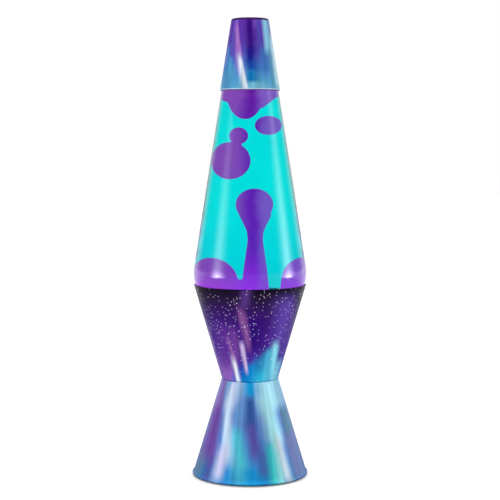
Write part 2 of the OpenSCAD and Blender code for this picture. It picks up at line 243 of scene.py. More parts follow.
# Where a Mix node that mixes colours has its sockets.
MIX_SHARE = 0
MIX_UNDER = 6
MIX_OVER = 7
MIX_RESULT = 2

NOISE_ROUGHNESS = 0.55


class Nodes:
    """A material's or group's node tree, built by calls that return output sockets."""

    def __init__(self, tree):
        self.tree = tree

    def add(self, kind, inputs=None, **settings):
        node = self.tree.nodes.new("ShaderNode" + kind)
        for key, value in settings.items():
            setattr(node, key, value)
        for key, value in (inputs or {}).items():
            self.feed(node.inputs[key], value)
        return node

    def feed(self, socket, value):
        if isinstance(value, bpy.types.NodeSocket):
            self.tree.links.new(value, socket)
        else:
            socket.default_value = value

    def math(self, operation, *values, clamp=False):
        node = self.add("Math", operation=operation, use_clamp=clamp)
        for socket, value in zip(node.inputs, values):
            self.feed(socket, value)
        return node.outputs[0]

    def ramp_value(self, value, from_low, from_high, to_low=0.0, to_high=1.0, smooth=True):
        """value mapped from one span to another, held at both ends."""
        node = self.add("MapRange", {"Value": value, "From Min": from_low, "From Max": from_high,
                                     "To Min": to_low, "To Max": to_high},
                        interpolation_type="SMOOTHSTEP" if smooth else "LINEAR")
        return node.outputs["Result"]

    def mix(self, share, under, over):
        node = self.add("Mix", data_type="RGBA")
        self.feed(node.inputs[MIX_SHARE], share)
        self.feed(node.inputs[MIX_UNDER], under)
        self.feed(node.inputs[MIX_OVER], over)
        return node.outputs[MIX_RESULT]

    def noise(self, vector, scale, detail=3.0):
        node = self.add("TexNoise", {"Vector": vector, "Scale": scale, "Detail": detail,
                                     "Roughness": NOISE_ROUGHNESS})
        return node.outputs["Fac"]

    def scaled(self, vector, scale):
        node = self.add("VectorMath", {0: vector, 1: scale}, operation="MULTIPLY")
        return node.outputs[0]

    def ramp(self, value, stops):
        """A colour ramp through (position, colour) stops."""
        node = self.add("ValToRGB", {"Fac": value})
        elements = node.color_ramp.elements
        elements[0].position, elements[0].color = stops[0]
        elements[1].position, elements[1].color = stops[-1]
        for position, colour in stops[1:-1]:
            elements.new(position).color = colour
        return node.outputs["Color"]

    def product(self, *values):
        result = values[0]
        for value in values[1:]:
            result = self.math("MULTIPLY", result, value)
        return result

    def point(self):
        """The point on the object, in metres."""
        return self.add("TexCoord").outputs["Object"]

    def axes(self, vector):
        return self.add("SeparateXYZ", {0: vector}).outputs

    def bump(self, height, distance, strength):
        node = self.add("Bump", {"Height": height, "Distance": distance, "Strength": strength})
        return node.outputs["Normal"]


def material(name, **values):
    """A new material with a Principled shader, and the helper for its nodes."""
    made = bpy.data.materials.new(name)
    made.use_nodes = True
    shader = made.node_tree.nodes["Principled BSDF"]
    nodes = Nodes(made.node_tree)
    for key, value in values.items():
        nodes.feed(shader.inputs[key.replace("_", " ")], value)
    return made, nodes, shader.inputs


# ---------- the galaxy print on the spun metal, with painted reflections, glints and shade ---

QUARTER_TURN = 90.0


def streak_group():
    """Lays one soft leaning streak over a colour. Angles are in degrees, and every half turn the
    streak comes again."""
    group = bpy.data.node_groups.new("streak", "ShaderNodeTree")
    for name in ("Under", "Colour"):
        group.interface.new_socket(name, in_out="INPUT", socket_type="NodeSocketColor")
    for name in ("Angle", "Height", "Centre", "Lean", "Left", "Right", "Low", "High", "Fade",
                 "Strength"):
        group.interface.new_socket(name, in_out="INPUT", socket_type="NodeSocketFloat")
    group.interface.new_socket("Result", in_out="OUTPUT", socket_type="NodeSocketColor")
    nodes = Nodes(group)
    given = group.nodes.new("NodeGroupInput").outputs
    centre = nodes.math("MULTIPLY_ADD", given["Height"], given["Lean"], given["Centre"])
    off = nodes.math("WRAP", nodes.math("SUBTRACT", given["Angle"], centre), QUARTER_TURN, -QUARTER_TURN)
    left = nodes.ramp_value(off, nodes.math("MULTIPLY", given["Left"], -1.0), 0.0)
    right = nodes.ramp_value(off, given["Right"], 0.0)
    low_end = nodes.math("SUBTRACT", given["Low"], given["Fade"])
    high_end = nodes.math("ADD", given["High"], given["Fade"])
    low = nodes.ramp_value(given["Height"], low_end, given["Low"])
    high = nodes.ramp_value(given["Height"], high_end, given["High"])
    share = nodes.product(nodes.product(left, right), nodes.product(low, high), given["Strength"])
    result = nodes.mix(share, given["Under"], given["Colour"])
    out = group.nodes.new("NodeGroupOutput")
    nodes.feed(out.inputs["Result"], result)
    return group


STREAK = streak_group()


def degrees_at(across):
    """The angle round the part at which the front view shows a point, -1 being its left edge."""
    return math.degrees(math.asin(across))


# Brushed wisps and long waves on the unrolled surface, and how many degrees each pushes a streak
# aside. The wisps' rise and the softness of a painted edge line are shares of the part's height.
WISP_SCALE = (8, 8, 0.8)
WAVE_SCALE = (1.6, 1.6, 1.1)
WISP_PUSH = 5.0
WAVE_PUSH = 6.0
WISP_RISE = 0.16
EDGE_LINE_SOFTNESS = 0.006

# The spinning marks under the paint, its orange peel, and how deep the two are, in metres.
SPINNING_SCALE = (9, 9, 2600)
PEEL_SCALE = 900.0
PAINT_RELIEF = 0.00002

# The stars' tone, and the strength of their glow, which is a painted glint.
STAR_TONE = (225, 215, 250)
STAR_PAINTED_GLINT = 1.2


def printed_with_painted_light(name, low_z, high_z, ground, streaks, painted_edge_lines, stars=False):
    """Painted metal. ground is the colours by height, from 0 at the bottom to 1. A streak is
    (colour, strength, its low end and its high end as (across, height), softness to the left and
    to the right in degrees, fade); the streaks are print, and the pale ones are partly painted
    reflections of the softboxes. An edge line is painted shade or a painted highlight along a rim
    or hem, as (colour, low height, high height). The stars are print, and their glow is a painted glint."""
    made, nodes, shader = material(name, Metallic=0.35, Coat_Weight=0.04, Coat_Roughness=0.12,
                                   Specular_IOR_Level=0.2, Specular_Tint=(0.3, 0.3, 0.36, 1))
    spot = nodes.point()
    axes = nodes.axes(spot)
    bearing = nodes.math("ARCTAN2", axes["X"], nodes.math("MULTIPLY", axes["Y"], -1.0))
    bearing = nodes.math("MULTIPLY", bearing, math.degrees(1))
    height = nodes.ramp_value(axes["Z"], low_z * MM, high_z * MM, smooth=False)
    flat = nodes.add("CombineXYZ", {"X": axes["X"], "Y": axes["Y"]}).outputs[0]
    round_it = nodes.add("VectorMath", {0: flat}, operation="NORMALIZE").outputs[0]
    up = nodes.add("CombineXYZ", {"Z": height}).outputs[0]
    unrolled = nodes.add("VectorMath", {0: round_it, 1: up}, operation="ADD").outputs[0]
    wisps = nodes.noise(nodes.scaled(unrolled, WISP_SCALE), 1.0, detail=4.0)
    waves = nodes.noise(nodes.scaled(unrolled, WAVE_SCALE), 1.0, detail=1.0)
    wander = nodes.math("MULTIPLY_ADD", waves, WAVE_PUSH, -(WISP_PUSH + WAVE_PUSH) / 2)
    wander = nodes.math("MULTIPLY_ADD", wisps, WISP_PUSH, wander)
    angle = nodes.math("ADD", bearing, wander)
    rise = nodes.math("MULTIPLY_ADD", wisps, WISP_RISE, -WISP_RISE / 2)
    shifted = nodes.math("ADD", height, rise)
    colour = nodes.ramp(shifted, [(h, linear(*c)) for h, c in ground])
    # The streaks are print, and the pale ones are partly painted reflections of the softboxes.
    for tone, strength, start, end, left, right, fade in streaks:
        first, last = degrees_at(start[0]), degrees_at(end[0])
        lean = (last - first) / (end[1] - start[1])
        colour = nodes.add("Group", {
            "Under": colour, "Colour": linear(*tone), "Angle": angle, "Height": height,
            "Centre": first - lean * start[1], "Lean": lean, "Left": left, "Right": right,
            "Low": start[1], "High": end[1], "Fade": fade, "Strength": strength,
        }, node_tree=STREAK).outputs[0]
    shade = nodes.ramp_value(wisps, 0.3, 0.7, 0.96, 1.22)
    colour = nodes.add("VectorMath", {0: colour, "Scale": shade}, operation="SCALE").outputs[0]
    # The stars are print; their emission is a painted glint.
    if stars:
        specks = starry(nodes, bearing, axes["Z"], height)
        colour = nodes.mix(specks, colour, linear(*STAR_TONE))
        nodes.feed(shader["Emission Color"], (1, 0.97, 1, 1))
        nodes.feed(shader["Emission Strength"], nodes.math("MULTIPLY", specks, STAR_PAINTED_GLINT))
    # Painted shade and painted highlights along the rims and hems, as lines of colour by height.
    for tone, low, high in painted_edge_lines:
        share = nodes.product(nodes.ramp_value(height, low - EDGE_LINE_SOFTNESS, low),
                              nodes.ramp_value(height, high + EDGE_LINE_SOFTNESS, high))
        colour = nodes.mix(share, colour, linear(*tone))
    spinning = nodes.noise(nodes.scaled(spot, SPINNING_SCALE), 1.0, detail=2.0)
    peel = nodes.noise(spot, PEEL_SCALE, detail=2.0)
    relief = nodes.math("MULTIPLY_ADD", spinning, 0.12, peel)
    nodes.feed(shader["Base Color"], colour)
    nodes.feed(shader["Roughness"], nodes.ramp_value(wisps, 0.25, 0.75, 0.28, 0.4))
    nodes.feed(shader["Normal"], nodes.bump(relief, PAINT_RELIEF, 0.6))
    return made


# Layers of stars, as (spacing in mm, radius in mm, share of the places taken), how many millimetres
# a degree spans where most of them are, and how much of a star's radius is full strength.
STAR_LAYERS = ((4.4, 0.33, 0.12), (3.0, 0.27, 0.2), (2.1, 0.21, 0.36))
DEGREE_SPAN = 0.6
STAR_CORE = 0.6


def starry(nodes, bearing, z, height):
    """Where the round specks are, as a mask. They crowd together towards the top and in clouds."""
    across = nodes.math("MULTIPLY", bearing, DEGREE_SPAN)
    tall = nodes.math("DIVIDE", z, MM)
    sky = nodes.add("CombineXYZ", {"X": across, "Y": tall}).outputs[0]
    clouds = nodes.noise(nodes.scaled(sky, (0.05, 0.03, 1)), 1.0, detail=2.0)
    crowd = nodes.product(nodes.ramp_value(height, 0.05, 0.7, 0.1, 1.0),
                          nodes.ramp_value(clouds, 0.36, 0.62, 0.25, 1.0))
    specks = 0.0
    for spacing, radius, share in STAR_LAYERS:
        node = nodes.add("TexVoronoi", {"Vector": sky, "Scale": 1 / spacing},
                         voronoi_dimensions="2D", normalize=False)
        lot = nodes.add("SeparateColor", {0: node.outputs["Color"]}).outputs[0]
        chosen = nodes.math("LESS_THAN", lot, nodes.math("MULTIPLY", crowd, share))
        size = radius / spacing
        speck = nodes.ramp_value(node.outputs["Distance"], size, size * STAR_CORE)
        specks = nodes.math("MAXIMUM", specks, nodes.math("MULTIPLY", speck, chosen))
    return specks


CUP_GROUND = [(0.0, (20, 120, 205)), (0.1, (35, 80, 190)), (0.22, (74, 44, 160)), (0.45, (72, 26, 144)),
              (0.7, (58, 20, 110)), (0.88, (38, 20, 62)), (1.0, (18, 10, 28))]
CUP_STREAKS = [
    ((146, 96, 188), 1.0, (-0.74, 0.0), (-0.66, 0.12), 70, 24, 0.3),
    ((146, 120, 172), 0.8, (-0.98, 0.0), (-0.97, 0.4), 16, 13, 0.3),
    ((94, 46, 148), 0.9, (-0.66, 0.26), (-0.6, 0.48), 34, 30, 0.22),
    ((94, 66, 168), 0.9, (0.76, 0.4), (0.72, 0.8), 30, 26, 0.2),
    ((0, 138, 212), 1.0, (-0.06, 0.0), (0.06, 0.14), 24, 40, 0.12),
    ((44, 8, 116), 0.95, (0.04, 0.42), (0.04, 0.62), 16, 22, 0.16),
    ((30, 140, 200), 1.0, (0.2, 0.0), (0.3, 0.2), 18, 22, 0.14),
    ((60, 164, 212), 1.0, (0.36, 0.0), (0.46, 0.28), 14, 16, 0.12),
    ((42, 192, 230), 1.0, (0.3, 0.0), (0.34, 0.06), 22, 26, 0.12),
    ((88, 194, 224), 1.0, (0.54, 0.0), (0.61, 0.31), 16, 18, 0.1),
    ((124, 200, 222), 1.0, (0.84, 0.0), (0.82, 0.14), 16, 30, 0.14),
    ((140, 222, 240), 0.95, (0.76, 0.04), (0.66, 0.36), 12, 10, 0.12),
    ((160, 98, 168), 0.7, (-0.08, 0.46), (-0.17, 0.7), 8, 9, 0.18),
    ((100, 60, 150), 0.7, (-0.1, 0.86), (-0.08, 0.97), 10, 10, 0.1),
    ((120, 68, 146), 0.6, (-0.34, 0.34), (-0.38, 0.5), 12, 10, 0.14),
    ((216, 192, 240), 1.0, (-0.12, 0.16), (-0.2, 0.38), 7, 5, 0.1),
    ((236, 242, 250), 1.0, (-0.4, 0.0), (-0.45, 0.18), 7, 7, 0.16),
    ((176, 116, 184), 0.6, (-0.47, 0.28), (-0.52, 0.42), 4, 5, 0.1),
]
# Painted shade: a dark line along the cup's rim.
CUP_RIM_PAINTED_SHADE = [((10, 8, 14), 0.994, 1.1)]

FOOT_GROUND = [(0.0, (44, 134, 196)), (0.1, (40, 136, 200)), (0.3, (70, 130, 200)), (0.6, (90, 122, 196)),
               (0.8, (100, 142, 206)), (1.0, (110, 176, 222))]
# The pale streaks on both sides are print and partly painted reflections of the side softboxes.
FOOT_STREAKS = [
    ((92, 128, 158), 0.9, (-0.96, 0.0), (-0.94, 0.2), 20, 20, 0.24),
    ((80, 88, 166), 0.9, (-0.76, 0.04), (-0.76, 0.22), 16, 12, 0.12),
    ((118, 78, 170), 1.0, (-0.8, 0.32), (-0.84, 0.72), 60, 17, 0.22),
    ((136, 108, 182), 0.95, (-0.88, 0.8), (-0.86, 1.0), 50, 16, 0.14),
    ((188, 200, 226), 1.0, (-0.6, 0.8), (-0.54, 1.0), 14, 26, 0.14),
    ((98, 150, 206), 0.8, (-0.3, 0.6), (-0.28, 0.74), 14, 14, 0.12),
    ((80, 196, 216), 1.0, (-0.14, 0.1), (-0.32, 0.46), 18, 16, 0.16),
    ((184, 208, 230), 1.0, (-0.5, 0.34), (-0.62, 0.78), 10, 14, 0.22),
    ((184, 182, 212), 0.95, (-0.58, 0.12), (-0.56, 0.28), 13, 11, 0.16),
    ((0, 148, 208), 1.0, (0.02, 0.9), (0.0, 1.0), 18, 16, 0.1),
    ((42, 80, 148), 1.0, (0.02, 0.6), (0.0, 0.8), 15, 16, 0.12),
    ((84, 74, 156), 1.0, (0.14, 0.32), (0.06, 0.52), 14, 12, 0.14),
    ((14, 140, 202), 0.9, (0.04, 0.0), (0.04, 0.12), 22, 24, 0.1),
    ((70, 104, 174), 0.9, (0.24, 0.14), (0.22, 0.28), 10, 12, 0.1),
    ((162, 214, 230), 1.0, (0.52, 0.8), (0.5, 1.0), 26, 90, 0.14),
    ((160, 218, 226), 1.0, (0.58, 0.46), (0.48, 0.8), 24, 22, 0.14),
    ((60, 192, 196), 1.0, (0.42, 0.06), (0.42, 0.32), 10, 12, 0.14),
    ((128, 212, 212), 1.0, (0.54, 0.02), (0.54, 0.4), 8, 8, 0.16),
    ((178, 192, 198), 0.9, (0.67, 0.08), (0.62, 0.38), 11, 11, 0.18),
    ((98, 144, 170), 0.9, (0.88, 0.5), (0.87, 0.66), 14, 60, 0.12),
    ((120, 132, 184), 0.95, (0.86, 0.08), (0.84, 0.4), 15, 60, 0.14),
]
# Painted shade: a dark line along the foot's rolled edge at the bottom.
FOOT_EDGE_PAINTED_SHADE = [((16, 34, 66), -0.1, 0.008)]

CAP_GROUND = [(0.0, (104, 170, 202)), (0.1, (84, 160, 200)), (0.3, (70, 124, 200)), (0.5, (84, 80, 184)),
              (0.7, (92, 52, 166)), (1.0, (96, 50, 168))]
CAP_STREAKS = [
    ((78, 150, 196), 1.0, (-0.8, 0.0), (-0.74, 0.24), 30, 34, 0.2),
    ((84, 140, 204), 0.9, (-0.9, 0.38), (-0.9, 0.54), 16, 16, 0.14),
    ((80, 168, 210), 0.9, (-0.78, 0.26), (-0.78, 0.38), 11, 12, 0.12),
    ((98, 84, 190), 0.85, (-0.76, 0.56), (-0.78, 0.76), 14, 12, 0.12),
    ((124, 92, 206), 0.9, (-0.7, 0.86), (-0.7, 1.0), 18, 14, 0.1),
    ((52, 6, 122), 1.0, (0.02, 0.58), (-0.06, 1.0), 18, 22, 0.16),
    ((24, 18, 136), 1.0, (0.0, 0.42), (0.0, 0.52), 16, 22, 0.12),
    ((12, 64, 156), 1.0, (0.04, 0.3), (0.02, 0.36), 14, 24, 0.08),
    ((4, 112, 176), 1.0, (0.04, 0.14), (0.04, 0.22), 15, 22, 0.1),
    ((112, 184, 208), 1.0, (0.14, 0.02), (0.14, 0.07), 24, 40, 0.07),
    ((112, 72, 180), 0.8, (0.26, 0.9), (0.26, 1.0), 10, 12, 0.08),
    ((72, 76, 170), 0.8, (0.44, 0.6), (0.42, 0.9), 9, 9, 0.2),
    ((58, 116, 180), 0.9, (0.6, 0.3), (0.6, 0.52), 20, 14, 0.1),
    ((134, 198, 224), 1.0, (0.74, 0.6), (0.74, 1.0), 16, 40, 0.16),
    ((92, 160, 192), 0.9, (0.8, 0.16), (0.8, 0.5), 10, 20, 0.12),
    ((178, 220, 228), 0.95, (0.94, 0.14), (0.95, 0.66), 16, 30, 0.2),
    ((156, 110, 206), 0.8, (-0.42, 0.34), (-0.6, 0.78), 14, 8, 0.18),
    ((180, 122, 202), 0.8, (-0.42, 0.54), (-0.6, 0.84), 11, 7, 0.14),
    ((224, 232, 246), 1.0, (-0.12, 0.0), (-0.36, 0.38), 13, 7, 0.18),
]
# On the cap: a painted shadow in the gap at its lower edge, a painted highlight on its hem, and painted
# shade on the rounding of its top.
CAP_PAINTED_EDGE_LIGHT = [((30, 14, 60), -0.1, 0.004), ((214, 220, 246), 0.014, 0.018), ((58, 16, 84), 0.97, 1.1)]

painted_cup = printed_with_painted_light("painted_cup", WAIST_Z, RIM_Z, CUP_GROUND, CUP_STREAKS, CUP_RIM_PAINTED_SHADE, stars=True)
painted_foot = printed_with_painted_light("painted_foot", FOOT_Z, WAIST_Z, FOOT_GROUND, FOOT_STREAKS, FOOT_EDGE_PAINTED_SHADE)
painted_cap = printed_with_painted_light("painted_cap", CAP_EDGE, CAP_TOP, CAP_GROUND, CAP_STREAKS, CAP_PAINTED_EDGE_LIGHT)

# How deep turning marks and moulded grain are, in metres, and how much darker worn patches are.
GRAIN_DEPTH = 0.00003
PATCH_SHADE = 0.72


def turned_metal(name, tone, roughness, ring_scale=1500.0, scratches=0.5):
    """Bare metal with fine turning marks and uneven shine."""
    made, nodes, shader = material(name, Metallic=0.75)
    spot = nodes.point()
    rings = nodes.noise(nodes.scaled(spot, (60, 60, ring_scale)), 1.0)
    patches = nodes.noise(spot, 70.0, detail=4.0)
    dark = tuple(c * PATCH_SHADE for c in linear(*tone)[:3]) + (1,)
    nodes.feed(shader["Base Color"], nodes.mix(patches, dark, linear(*tone)))
    nodes.feed(shader["Roughness"], nodes.ramp_value(patches, 0.3, 0.7, roughness * 0.8, roughness * 1.3))
    nodes.feed(shader["Normal"], nodes.bump(rings, GRAIN_DEPTH, scratches))
    return made


bare_aluminium = turned_metal("bare_aluminium", (196, 198, 202), 0.34)


# ---------- spun metal: cup, foot and cap ----------

def cup():
    wall = SHEET * ACROSS
    floor_z = WAIST_Z + SHEET
    floor_r = RIM_R - wall - CUP_SLOPE * (RIM_Z - WAIST_Z - SHEET)
    outside = path((NECK_HOLE_R, WAIST_Z), (WAIST_R, WAIST_Z, 2 * SHEET), (RIM_R, RIM_Z, EDGE_ROUND),
                   (RIM_R - wall, RIM_Z))
    inside = path((RIM_R - wall, RIM_Z), (floor_r, floor_z, 0.9), (NECK_HOLE_R, floor_z),
                  (NECK_HOLE_R, WAIST_Z))
    piece = lathe("cup_shell", [(outside, 0), (inside, 1)], [painted_cup, bare_aluminium])
    place(piece, "base", "painted_cup", "base_cup")


def foot():
    """The lower cone flares out at its foot and rolls inward round a bead."""
    wall = SHEET * ACROSS
    flare_z = 4
    bead_r = FOOT_R - BEAD
    bead_top = FOOT_Z + 2.4
    inner_z = 4.4
    outside = path((NECK_HOLE_R, WAIST_Z), (WAIST_R + 0.2, WAIST_Z, 1.2),
                   (foot_line(flare_z), FOOT_Z + 3.4, 6), (FOOT_R, FOOT_Z + BEAD, 0.6),
                   (FOOT_R, FOOT_Z, 0.8), (bead_r, FOOT_Z, 0.5), (bead_r, bead_top))
    inside = path((bead_r, bead_top), (foot_line(inner_z) - wall, inner_z),
                  (foot_line(WAIST_Z) - wall, WAIST_Z - SHEET), (NECK_HOLE_R, WAIST_Z - SHEET),
                  (NECK_HOLE_R, WAIST_Z))
    piece = lathe("foot_shell", [(outside, 0), (inside, 1)], [painted_foot, bare_aluminium])
    place(piece, "base", "painted_foot", "base_foot")


def cap():
    slope = (CAP_R - CAP_TOP_R) / (CAP_TOP - CAP_EDGE)
    wall = SHEET * math.hypot(1, slope)
    outside = path((0, CAP_TOP), (CAP_TOP_R, CAP_TOP, 2), (CAP_R, CAP_EDGE, EDGE_ROUND),
                   (CAP_R - wall, CAP_EDGE))
    inside = path((CAP_R - wall, CAP_EDGE), (CAP_TOP_R - wall, CAP_TOP - SHEET, 1.2), (0, CAP_TOP - SHEET))
    piece = lathe("cap_shell", [(outside, 0), (inside, 1)], [painted_cap, bare_aluminium])
    place(piece, "cap", "painted_cap", "cap")


cup()
foot()
cap()


# ---------- the globe: glass and liquid ----------

def bore(inset, top=MOUTH_Z):
    """The inside of the glass from a height down to the middle of its floor, drawn in by inset."""
    floor_z = GLOBE_Z + FLOOR + inset
    return path((upper_r(top) - GLASS - inset, top),
                (SHOULDER_R - SHOULDER_WALL - inset, SHOULDER_Z, SHOULDER_ROUND),
                (lower_r(GLOBE_Z + FLOOR) - GLASS - inset, floor_z, FLOOR_ROUND), (0, floor_z))


def glass(name, mirror=1.0):
    """Clear glass. mirror is how much of its reflection is left, which is none where it's wetted."""
    made, nodes, shader = material(name, Transmission_Weight=1.0, IOR=1.5, Roughness=0.0,
                                   Specular_Tint=(mirror, mirror, mirror, 1))
    spot = nodes.point()
    sway = nodes.noise(nodes.scaled(spot, (12, 12, 5)), 1.0, detail=1.0)
    nodes.feed(shader["Base Color"], nodes.mix(sway, (0.97, 0.99, 0.985, 1), (1, 1, 1, 1)))
    return made


def globe_glass():
    """A tapered bottle that stands on the ring round its punt, with a thick lip for the closure."""
    neck_r = LIP_R - LIP_PROUD
    lip_z = MOUTH_Z - LIP_HEIGHT
    outside = path((0, GLOBE_Z + PUNT), (PUNT_R, GLOBE_Z + PUNT, 4), (HEEL_R, GLOBE_Z, 3),
                   (lower_r(GLOBE_Z), GLOBE_Z, 6), (SHOULDER_R, SHOULDER_Z, SHOULDER_ROUND),
                   (upper_r(NECK_Z), NECK_Z, NECK_ROUND), (neck_r, NECK_Z + NECK_ROUND, 3),
                   (neck_r, lip_z - LIP_PROUD), (LIP_R, lip_z), (LIP_R, MOUTH_Z, 1.4), (BORE_R, MOUTH_Z))
    inside = path((BORE_R, MOUTH_Z), (BORE_R, NECK_Z + 6, 3), (upper_r(NECK_Z) - GLASS, NECK_Z - 1, 6),
                  (SHOULDER_R - SHOULDER_WALL, SHOULDER_Z, SHOULDER_ROUND),
                  (lower_r(GLOBE_Z + FLOOR) - GLASS, GLOBE_Z + FLOOR, FLOOR_ROUND), (0, GLOBE_Z + FLOOR))
    piece = lathe("globe_glass_wall", [(outside, 0), (inside, 1)],
                  [glass("clear_glass"), glass("wetted_glass", mirror=0.0)])
    place(piece, "globe", "clear_glass", "globe_glass")


def liquid():
    """Its skin lies just inside the glass wall, so that light goes straight from glass to liquid.
    Its back, where light leaves it, takes out all the red, and its front only a part."""
    made, nodes, shader = material("teal_liquid", Transmission_Weight=1.0, IOR=1.33, Roughness=0.0,
                                   Specular_Tint=(0, 0, 0, 1))
    low_down = nodes.ramp_value(nodes.axes(nodes.point())["Z"], 0.24, 0.15)
    far = nodes.mix(low_down, (0, 0.6, 0.58, 1), (0, 0.44, 0.52, 1))
    leaving = nodes.add("NewGeometry").outputs["Backfacing"]
    nodes.feed(shader["Base Color"], nodes.mix(leaving, (0.45, 0.97, 0.96, 1), far))
    dye = nodes.add("VolumeAbsorption", {"Color": (0, 0.97, 0.965, 1), "Density": 10.0})
    nodes.feed(made.node_tree.nodes["Material Output"].inputs["Volume"], dye.outputs[0])
    top = path((0, LIQUID_TOP), (upper_r(LIQUID_TOP) - GLASS + SEAL, LIQUID_TOP))
    piece = lathe("liquid_body", [(top, 0), (bore(-SEAL, LIQUID_TOP), 0)], [made])
    place(piece, "globe", "teal_liquid", "liquid")


globe_glass()
liquid()


# ---------- wax ----------

# The wax's painted glow runs through its tones from WAX_LOW, at the cup's rim, to WAX_HIGH, under
# the cap. Clouds shift them up and sideways. All four are in metres. The glow is brightest low down,
# where the bulb would light it, and the mauve and lavender are painted light from the left and right.
WAX_LOW = 0.152
WAX_HIGH = 0.33
CLOUD_RISE = 0.012
CLOUD_SIDE = 0.008
WAX_GLOW_TONES = [(0.0, (204, 34, 236)), (0.06, (180, 36, 214)), (0.18, (138, 26, 184)), (0.6, (134, 22, 172)),
             (1.0, (128, 10, 156))]
WAX_LEFT_LIGHT_MAUVE = (172, 78, 184)
WAX_RIGHT_LIGHT_LAVENDER = (164, 94, 198)


def wax_material():
    """Dyed wax with a painted glow: it glows violet, as painted light where the bulb lights it from
    below, is deepest along the middle and turns mauve to the left and lavender to the right, as
    painted light from the sides."""
    made, nodes, shader = material("purple_wax", Roughness=0.45, IOR=1.08)
    spot = nodes.point()
    clouds = nodes.noise(spot, 55.0, detail=2.0)
    axes = nodes.axes(spot)
    height = nodes.math("SUBTRACT", axes["Z"], CLOUD_RISE / 2)
    height = nodes.math("MULTIPLY_ADD", clouds, CLOUD_RISE, height)
    share = nodes.ramp_value(height, WAX_LOW, WAX_HIGH, smooth=False)
    tone = nodes.ramp(share, [(h, linear(*c)) for h, c in WAX_GLOW_TONES])
    side = nodes.math("SUBTRACT", axes["X"], CLOUD_SIDE / 2)
    side = nodes.math("MULTIPLY_ADD", clouds, CLOUD_SIDE, side)
    left = nodes.ramp_value(side, 0.001, -0.010)
    right = nodes.ramp_value(side, 0.002, 0.010)
    lit = nodes.ramp_value(share, 0.0, 0.15, 0.25, 0.9)
    # Painted light from the sides: mauve on the left, lavender on the right.
    tone = nodes.mix(nodes.product(left, lit), tone, linear(*WAX_LEFT_LIGHT_MAUVE))
    tone = nodes.mix(nodes.product(right, lit), tone, linear(*WAX_RIGHT_LIGHT_LAVENDER))
    nodes.feed(shader["Base Color"], nodes.mix(clouds, linear(100, 34, 110), linear(120, 48, 128)))
    # The emission is the painted glow of the bulb's light and the side light.
    nodes.feed(shader["Emission Color"], tone)
    nodes.feed(shader["Emission Strength"], nodes.ramp_value(share, 0.0, 0.12, 1.0, 0.92))
    nodes.feed(shader["Normal"], nodes.bump(clouds, 0.0004, 0.3))
    return made


WAX = wax_material()


# Lumps of wax, as (centre, radius, half height): the pool's two mounds, the swell at the stem's
# foot and the column's head, the mass under the cap with its lobe, and the loose blobs.
POOL_LUMPS = (((-25, -4, 152.3), 19.1, 24), ((31.5, 6, 152.8), 14, 22.6), ((-8, 3, 149), 11, 12),
              ((2.7, 0, 218.6), 11.5, 13.1))
TOP_LUMPS = (((-8.6, 0, 309), 13, 9), ((-3, 0, 306), 10.9, 19))
LARGE_LUMPS = (((-12.5, -1.6, 254), 12.9, 14.9), ((-7.2, -4.1, 274), 6.1, 6.8))
SMALL_LUMP = ((10.4, 5.4, 282), 7.7, 7.7)

# The pool's level, and the height from which the line of its wall is drawn.
POOL_TOP = 143
ABOVE_POOL = 300

# What joins the lumps, each spun round an axis of its own at (x, y): the column's stem, the plug
# under the cap, and the neck between the large blob and its bud.
STEM = ((0, 137), (13, 137), (8.8, 152, 12), (4.7, 190.4, 30), (5.2, 197.4, 10), (10.1, 210.8), (0, 210.8))
STEM_AXIS = (3.2, 0)
PLUG = ((0, 296), (7, 296, 2), (17.4, 306.8, 2.4), (17.4, LIQUID_TOP), (0, LIQUID_TOP))
PLUG_AXIS = (0.8, 0)
BUD_NECK = ((0, 264.4), (3.4, 264.4), (3.0, 268), (3.4, 271.4), (0, 271.4))
BUD_AXIS = (-8.3, -3.6)


def add_ellipsoid(mesh, centre, radius, half_height):
    made = bmesh.ops.create_uvsphere(mesh, u_segments=64, v_segments=40, radius=1)
    bmesh.ops.scale(mesh, vec=(radius, radius, half_height), verts=made["verts"])
    bmesh.ops.translate(mesh, vec=centre, verts=made["verts"])


def melted(name, mesh, voxel, smoothing):
    """The bmesh's overlapping lumps as one closed skin with soft joins, kept off the glass. voxel is
    the mesh size in millimetres, and smoothing how many times the skin is relaxed."""
    piece = finish_mesh(name, mesh, [WAX])
    remesh = piece.modifiers.new("remesh", "REMESH")
    remesh.mode = "VOXEL"
    remesh.voxel_size = voxel * MM
    soften = piece.modifiers.new("soften", "SMOOTH")
    soften.factor = 0.5
    soften.iterations = smoothing
    seen = piece.evaluated_get(bpy.context.evaluated_depsgraph_get())
    piece.modifiers.clear()
    piece.data = bpy.data.meshes.new_from_object(seen)
    wall = sorted((z * MM, r * MM) for r, z in dense(bore(WAX_GAP, LIQUID_TOP), FINE_STEP))
    for v in piece.data.vertices:
        v.co.z = max(v.co.z, wall[0][0])
        limit = wall_radius(wall, v.co.z)
        reach = math.hypot(v.co.x, v.co.y)
        if reach > limit:
            v.co.x *= limit / reach
            v.co.y *= limit / reach
    piece.data.polygons.foreach_set("use_smooth", [True] * len(piece.data.polygons))
    return piece


def wall_radius(wall, z):
    """The radius of a (height, radius) outline at a height."""
    for (low, a), (high, b) in zip(wall, wall[1:]):
        if z <= high:
            return b if high == low else a + (b - a) * (z - low) / (high - low)
    return wall[-1][1]


